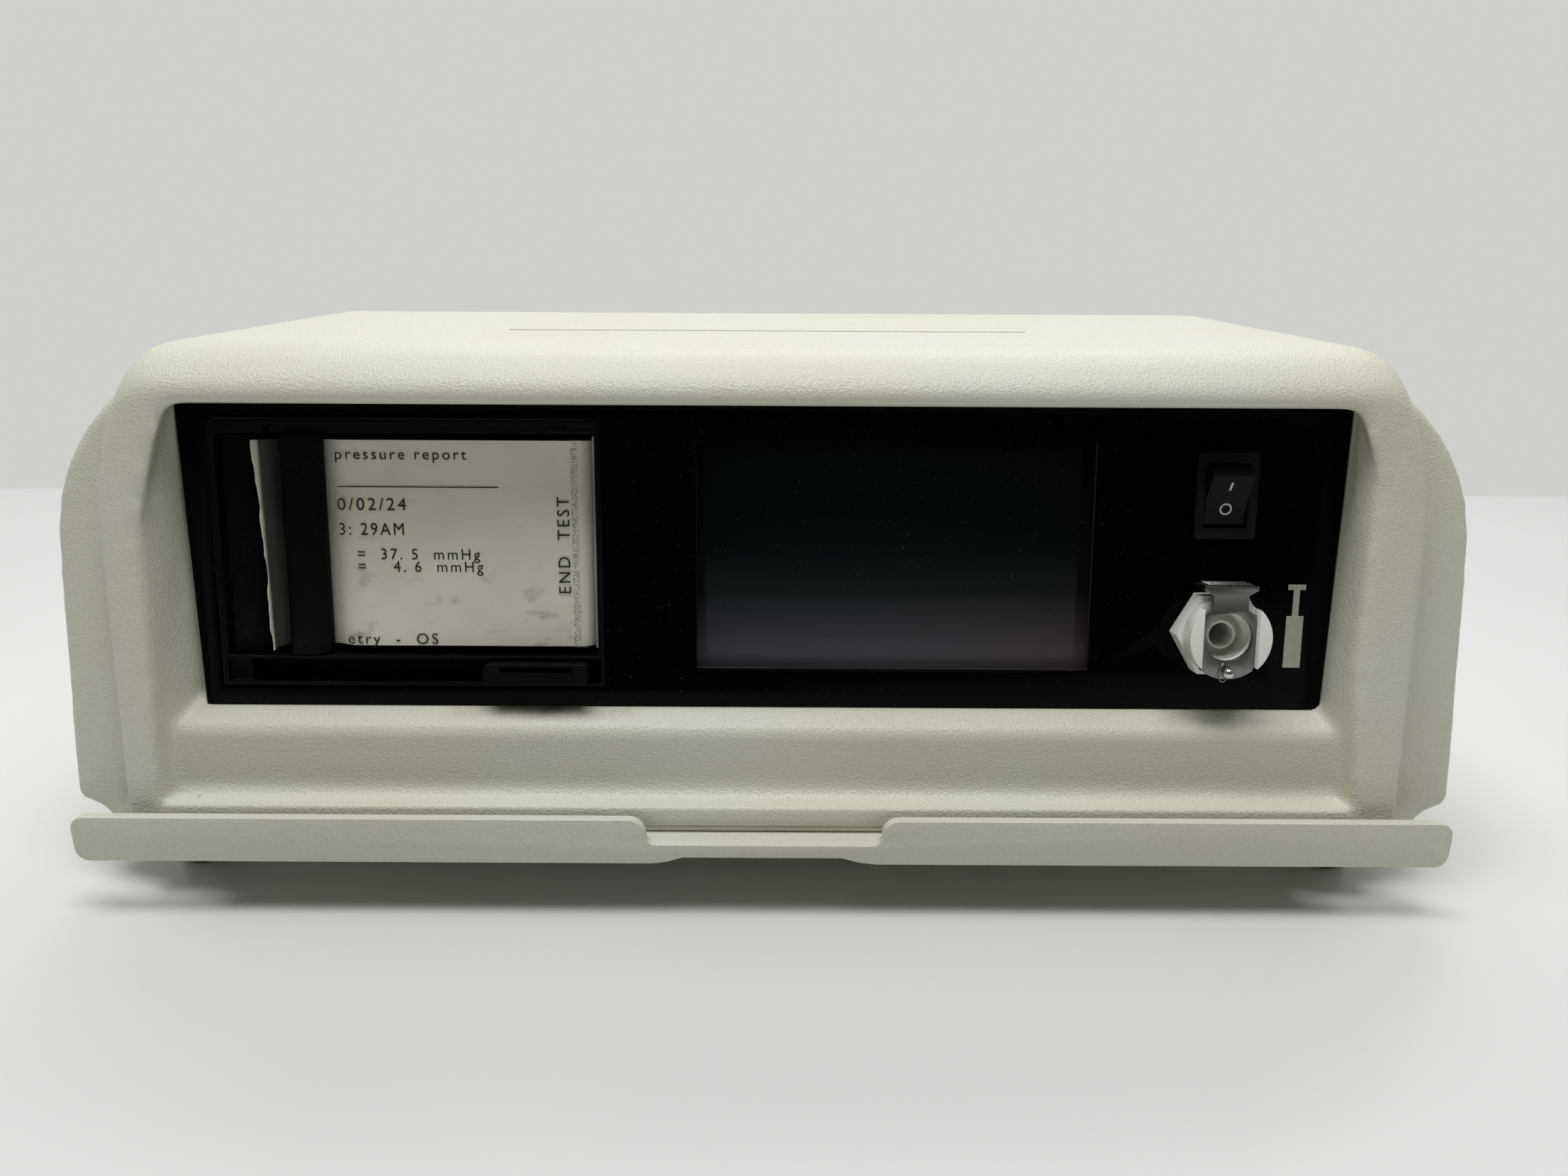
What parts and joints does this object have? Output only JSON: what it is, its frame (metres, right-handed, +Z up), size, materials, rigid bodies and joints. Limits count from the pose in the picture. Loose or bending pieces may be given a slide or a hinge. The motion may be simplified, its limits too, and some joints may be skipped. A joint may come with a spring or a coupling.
{
  "type": "tabletop pneumatonometer console",
  "caption": "Desktop air-operated eye-pressure instrument with a leaning black front panel, strip-chart printer, display, rocker switch, probe coupling and slide-under front door.",
  "frame": {"origin": "on the table, under the middle of the whole object's box", "axes": "+X to the operator's right, along the width; +Y to the back; +Z up"},
  "size_m": [0.334, 0.25, 0.1304],
  "materials": {
    "cream_moulding": "fine pebbled satin",
    "white_moulding": "satin",
    "black_gloss_panel": "polished",
    "black_plastic": "satin",
    "dusty_black_plastic": "moulded grain",
    "display_glass": "polished",
    "chart_paper": "uncoated",
    "white_acetal": "satin",
    "stainless_steel": "brushed",
    "zinc_plate": "zinc plated",
    "aluminium": "satin",
    "brass": "machined",
    "black_rubber": "matte",
    "clear_strip": "clear",
    "circuit_board": "lacquered",
    "hose_grey": "matte"
  },
  "bodies": {
    "case": {"upper_housing": "cream_moulding", "control_panel": "black_gloss_panel", "base_pan": "black_plastic", "display_gasket": "black_plastic", "rocker_bezel": "black_plastic", "roll_spindle": "black_plastic", "mains_inlet": "black_plastic", "printer_frame": "dusty_black_plastic", "paper_table": "dusty_black_plastic", "tear_bar": "dusty_black_plastic", "exit_plate": "dusty_black_plastic", "display_glass": "display_glass", "paper_strip": "chart_paper", "coupler_body": "white_acetal", "coupler_sleeve": "white_acetal", "coupler_nut": "white_acetal", "latch_pin": "stainless_steel", "display_module": "zinc_plate", "door_rail_left": "zinc_plate", "door_rail_right": "zinc_plate", "guide_roller": "zinc_plate", "feed_motor": "zinc_plate", "pump_bracket": "zinc_plate", "pump_motor": "zinc_plate", "power_supply": "zinc_plate", "data_port": "zinc_plate", "case_screw_1": "zinc_plate", "case_screw_2": "zinc_plate", "case_screw_3": "zinc_plate", "case_screw_4": "zinc_plate", "print_head": "aluminium", "pump_head": "aluminium", "pressure_block": "aluminium", "rear_panel": "aluminium", "switch_contacts": "brass", "foot_1": "black_rubber", "foot_2": "black_rubber", "foot_3": "black_rubber", "foot_4": "black_rubber", "pump_isolator_1": "black_rubber", "pump_isolator_2": "black_rubber", "edge_strip": "clear_strip", "main_board": "circuit_board", "air_hose": "hose_grey", "air_filter": "hose_grey"},
    "rocker": {"rocker_button": "black_plastic"},
    "thumb_latch": {"coupler_latch": "stainless_steel"},
    "printer_tab": {"printer_latch": "dusty_black_plastic"},
    "platen": {"drive_roller": "black_rubber"},
    "supply_roll": {"paper_roll": "chart_paper"},
    "feed_wheel": {"feed_gear": "brass"},
    "pinion": {"motor_pinion": "brass"},
    "crank": {"pump_crank": "brass"},
    "fuse_tray": {"fuse_drawer": "black_plastic"},
    "door": {"front_door": "white_moulding"}
  },
  "joints": [
    {"name": "rocker_tilt", "type": "hinge", "parent": "case", "child": "rocker", "pos_m": [0.1083, -0.09855, 0.09672], "axis": [-1, 0, 0], "range_deg": [0, 18]},
    {"name": "thumb_latch_press", "type": "slide", "parent": "case", "child": "thumb_latch", "axis": [0, -0.1478, -0.989], "range_m": [0, 0.0012], "stiffness_N_per_m": 800, "springref_m": -0.002},
    {"name": "printer_tab_press", "type": "slide", "parent": "case", "child": "printer_tab", "axis": [0, 0.989, -0.1478], "range_m": [0, 0.0015], "stiffness_N_per_m": 900, "springref_m": -0.001},
    {"name": "supply_roll_spin", "type": "hinge", "parent": "case", "child": "supply_roll", "pos_m": [-0.074, -0.07713, 0.08038], "axis": [0, 0.1478, 0.989], "continuous": true},
    {"name": "feed_gear_spin", "type": "hinge", "parent": "case", "child": "feed_wheel", "pos_m": [-0.027, -0.07558, 0.08399], "axis": [0, 0.1478, 0.989], "continuous": true},
    {"name": "drive_roller_spin", "type": "hinge", "parent": "case", "child": "platen", "pos_m": [-0.1074, -0.09058, 0.08239], "axis": [0, 0.1478, 0.989], "continuous": true},
    {"name": "motor_pinion_spin", "type": "hinge", "parent": "case", "child": "pinion", "pos_m": [-0.027, -0.06529, 0.08245], "axis": [0, 0.1478, 0.989], "continuous": true},
    {"name": "pump_crank_spin", "type": "hinge", "parent": "case", "child": "crank", "pos_m": [-0.0942, -0.011, 0.05], "axis": [1, 0, 0], "continuous": true},
    {"name": "fuse_drawer_slide", "type": "slide", "parent": "case", "child": "fuse_tray", "axis": [0, 1, 0], "range_m": [0, 0.018]},
    {"name": "front_door_slide", "type": "slide", "parent": "case", "child": "door", "axis": [0, -1, 0], "range_m": [0, 0.1]}
  ],
  "couplings": [
    {"joint": "drive_roller_spin", "follows": "supply_roll_spin", "ratio": -3.1},
    {"joint": "feed_gear_spin", "follows": "supply_roll_spin", "ratio": -3.1},
    {"joint": "motor_pinion_spin", "follows": "supply_roll_spin", "ratio": 7.2333}
  ]
}
